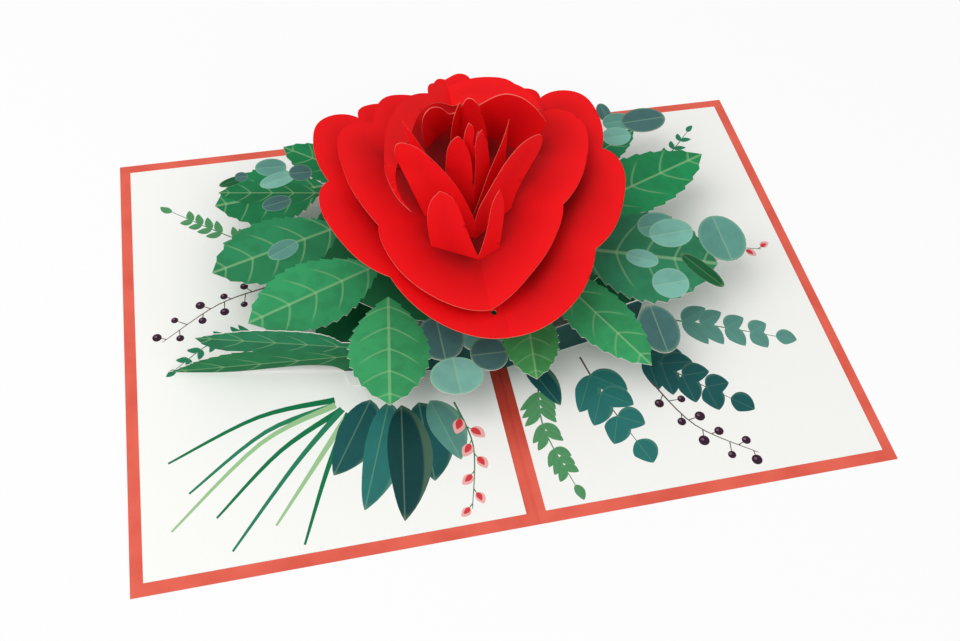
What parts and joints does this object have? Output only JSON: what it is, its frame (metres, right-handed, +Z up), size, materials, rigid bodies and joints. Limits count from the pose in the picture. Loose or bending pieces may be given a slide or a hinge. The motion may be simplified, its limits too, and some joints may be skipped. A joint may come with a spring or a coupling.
{
  "type": "pop up card",
  "caption": "Pop up greeting card, open flat: a folded card with printed panels inside, a die-cut layer of leaves on struts, and a red paper rose of folded petal sheets above it.",
  "frame": {"origin": "underside of the cover, on the card's fold, at half its depth", "axes": "+Y along the fold from the front edge to the back edge, +X from the left half to the right half, +Z up"},
  "size_m": [0.254, 0.178, 0.0674],
  "materials": {
    "cover_board": "satin",
    "print_paper": "matte",
    "leaf_card": "satin",
    "petal_card": "satin"
  },
  "bodies": {
    "root": {"cover_card": "cover_board", "left_print_panel": "print_paper", "right_print_panel": "print_paper", "leaf_sheet": "leaf_card", "front_strut": "leaf_card", "back_strut": "leaf_card", "left_outer_riser": "petal_card", "right_outer_riser": "petal_card", "left_middle_riser": "petal_card", "right_middle_riser": "petal_card", "left_inner_riser": "petal_card", "right_inner_riser": "petal_card", "outer_petals": "petal_card", "middle_petals": "petal_card", "inner_petals": "petal_card", "front_petal_pair": "petal_card", "wide_petal_pair": "petal_card", "pointed_petal_pair": "petal_card", "heart_petal_pair": "petal_card", "bud_petal_pair": "petal_card", "arch_petal_pair": "petal_card", "back_petal_pair": "petal_card"}
  },
  "joints": []
}
